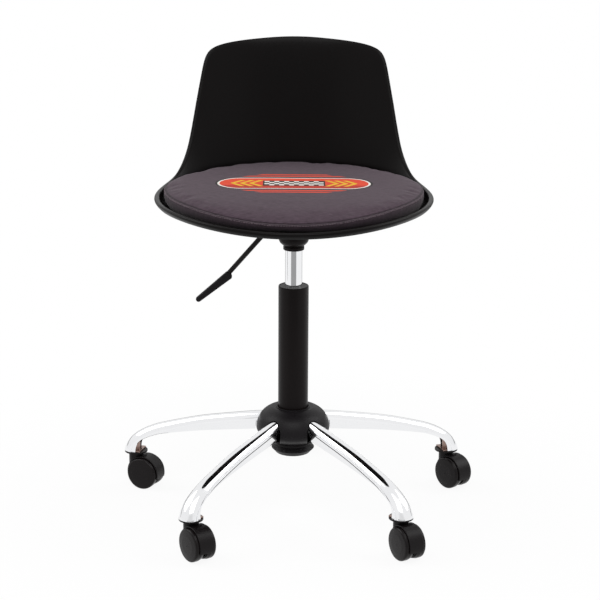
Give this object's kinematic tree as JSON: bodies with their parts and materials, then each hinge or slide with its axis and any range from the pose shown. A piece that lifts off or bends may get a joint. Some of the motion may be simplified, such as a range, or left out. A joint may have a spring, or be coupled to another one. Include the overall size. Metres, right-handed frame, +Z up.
{
  "type": "children's swivel chair",
  "caption": "Low-backed children's swivel chair: black bucket shell, round padded seat, gas lift, chromed star base on twin-wheel castors.",
  "frame": {"origin": "on the floor under the middle of the whole chair; the column stands 8.7 mm towards -X and 11.0 mm towards -Y of it because the castors trail to one side", "axes": "+Z up, the sitter faces -Y, +X is the sitter's left"},
  "size_m": [0.6, 0.583, 0.7594],
  "materials": {
    "shell_plastic": "satin moulded polypropylene",
    "cover_plastic": "satin moulded",
    "castor_plastic": "satin moulded nylon",
    "wheel_plastic": "satin moulded nylon",
    "sleeve_plastic": "dark moulded acetal",
    "button_plastic": "moulded",
    "pad_fabric": "printed woven polyester over foam",
    "chrome": "bright chrome plate",
    "black_steel": "satin black powder coat",
    "plain_steel": "bright turned steel",
    "zinc_steel": "yellowed zinc plate",
    "rubber": "matt"
  },
  "bodies": {
    "base": {"column_tube": "black_steel", "guide_sleeve": "sleeve_plastic", "column_bottom_plate": "plain_steel", "bearing_lower_washer": "plain_steel", "hub_tube": "plain_steel", "hub_cover_upper": "cover_plastic", "hub_cover_lower": "cover_plastic", "stem_sockets": "zinc_steel", "leg_1": "chrome", "leg_2": "chrome", "leg_3": "chrome", "leg_4": "chrome", "leg_5": "chrome"},
    "bearing_cage": {"ball_cage": "sleeve_plastic", "bearing_balls": "plain_steel"},
    "rod": {"piston_rod": "plain_steel", "piston": "plain_steel", "bearing_upper_washer": "plain_steel", "bump_stop": "rubber", "retaining_clip": "plain_steel"},
    "seat": {"gas_cylinder": "chrome", "seal_plug": "cover_plastic", "inner_tube": "plain_steel", "valve_body": "plain_steel", "cone_socket": "black_steel", "socket_cup": "black_steel", "mounting_plate": "black_steel", "lever_pin": "plain_steel", "plate_screws": "zinc_steel", "seat_shell": "shell_plastic", "seat_cushion": "pad_fabric"},
    "button": {"release_button": "button_plastic"},
    "lever": {"lever_rod": "black_steel", "lever_handle": "cover_plastic"},
    "castor_1": {"castor_1_stem": "plain_steel", "castor_1_housing": "castor_plastic", "castor_1_axle": "plain_steel"},
    "castor_1_wheel_a": {"castor_1_wheel_a": "wheel_plastic"},
    "castor_1_wheel_b": {"castor_1_wheel_b": "wheel_plastic"},
    "castor_2": {"castor_2_stem": "plain_steel", "castor_2_housing": "castor_plastic", "castor_2_axle": "plain_steel"},
    "castor_2_wheel_a": {"castor_2_wheel_a": "wheel_plastic"},
    "castor_2_wheel_b": {"castor_2_wheel_b": "wheel_plastic"},
    "castor_3": {"castor_3_stem": "plain_steel", "castor_3_housing": "castor_plastic", "castor_3_axle": "plain_steel"},
    "castor_3_wheel_a": {"castor_3_wheel_a": "wheel_plastic"},
    "castor_3_wheel_b": {"castor_3_wheel_b": "wheel_plastic"},
    "castor_4": {"castor_4_stem": "plain_steel", "castor_4_housing": "castor_plastic", "castor_4_axle": "plain_steel"},
    "castor_4_wheel_a": {"castor_4_wheel_a": "wheel_plastic"},
    "castor_4_wheel_b": {"castor_4_wheel_b": "wheel_plastic"},
    "castor_5": {"castor_5_stem": "plain_steel", "castor_5_housing": "castor_plastic", "castor_5_axle": "plain_steel"},
    "castor_5_wheel_a": {"castor_5_wheel_a": "wheel_plastic"},
    "castor_5_wheel_b": {"castor_5_wheel_b": "wheel_plastic"}
  },
  "joints": [
    {"name": "seat_swivel", "type": "hinge", "parent": "base", "child": "rod", "pos_m": [-0.00865, -0.01102, 0.11], "axis": [0, 0, 1], "continuous": true},
    {"name": "cage_roll", "type": "hinge", "parent": "base", "child": "bearing_cage", "pos_m": [-0.00865, -0.01102, 0.105], "axis": [0, 0, 1], "continuous": true},
    {"name": "seat_height", "type": "slide", "parent": "rod", "child": "seat", "axis": [0, 0, 1], "range_m": [-0.055, 0.06]},
    {"name": "lever_lift", "type": "hinge", "parent": "seat", "child": "lever", "pos_m": [-0.03565, -0.01102, 0.48435], "axis": [0, 1, 0], "range_deg": [0, 5.7], "stiffness_Nm_per_rad": 1, "springref_deg": -5.73},
    {"name": "button_press", "type": "slide", "parent": "seat", "child": "button", "axis": [0, 0, -1], "range_m": [0, 0.003]},
    {"name": "castor_1_swivel", "type": "hinge", "parent": "base", "child": "castor_1", "pos_m": [0.16391, -0.23469, 0.0643], "axis": [0, 0, 1], "continuous": true},
    {"name": "castor_1_roll_a", "type": "hinge", "parent": "castor_1", "child": "castor_1_wheel_a", "pos_m": [0.17331, -0.25097, 0.0274], "axis": [0.866, 0.5, 0], "continuous": true},
    {"name": "castor_1_roll_b", "type": "hinge", "parent": "castor_1", "child": "castor_1_wheel_b", "pos_m": [0.17331, -0.25097, 0.0274], "axis": [0.866, 0.5, 0], "continuous": true},
    {"name": "castor_2_swivel", "type": "hinge", "parent": "base", "child": "castor_2", "pos_m": [0.2574, 0.08398, 0.0643], "axis": [0, 0, 1], "continuous": true},
    {"name": "castor_2_roll_a", "type": "hinge", "parent": "castor_2", "child": "castor_2_wheel_a", "pos_m": [0.26948, 0.06958, 0.0274], "axis": [0.766, 0.6428, 0], "continuous": true},
    {"name": "castor_2_roll_b", "type": "hinge", "parent": "castor_2", "child": "castor_2_wheel_b", "pos_m": [0.26948, 0.06958, 0.0274], "axis": [0.766, 0.6428, 0], "continuous": true},
    {"name": "castor_3_swivel", "type": "hinge", "parent": "base", "child": "castor_3", "pos_m": [-0.01678, 0.27136, 0.0643], "axis": [0, 0, 1], "continuous": true},
    {"name": "castor_3_roll_a", "type": "hinge", "parent": "castor_3", "child": "castor_3_wheel_a", "pos_m": [-0.00373, 0.25784, 0.0274], "axis": [0.7193, 0.6947, 0], "continuous": true},
    {"name": "castor_3_roll_b", "type": "hinge", "parent": "castor_3", "child": "castor_3_wheel_b", "pos_m": [-0.00373, 0.25784, 0.0274], "axis": [0.7193, 0.6947, 0], "continuous": true},
    {"name": "castor_4_swivel", "type": "hinge", "parent": "base", "child": "castor_4", "pos_m": [-0.27973, 0.0685, 0.0643], "axis": [0, 0, 1], "continuous": true},
    {"name": "castor_4_roll_a", "type": "hinge", "parent": "castor_4", "child": "castor_4_wheel_a", "pos_m": [-0.26283, 0.06026, 0.0274], "axis": [0.4384, 0.8988, 0], "continuous": true},
    {"name": "castor_4_roll_b", "type": "hinge", "parent": "castor_4", "child": "castor_4_wheel_b", "pos_m": [-0.26283, 0.06026, 0.0274], "axis": [0.4384, 0.8988, 0], "continuous": true},
    {"name": "castor_5_swivel", "type": "hinge", "parent": "base", "child": "castor_5", "pos_m": [-0.16805, -0.24425, 0.0643], "axis": [0, 0, 1], "continuous": true},
    {"name": "castor_5_roll_a", "type": "hinge", "parent": "castor_5", "child": "castor_5_wheel_a", "pos_m": [-0.15727, -0.25965, 0.0274], "axis": [0.8192, 0.5736, 0], "continuous": true},
    {"name": "castor_5_roll_b", "type": "hinge", "parent": "castor_5", "child": "castor_5_wheel_b", "pos_m": [-0.15727, -0.25965, 0.0274], "axis": [0.8192, 0.5736, 0], "continuous": true}
  ],
  "couplings": [
    {"joint": "cage_roll", "follows": "seat_swivel", "ratio": 0.5},
    {"joint": "button_press", "follows": "lever_lift", "m_per_rad": 0.03}
  ]
}
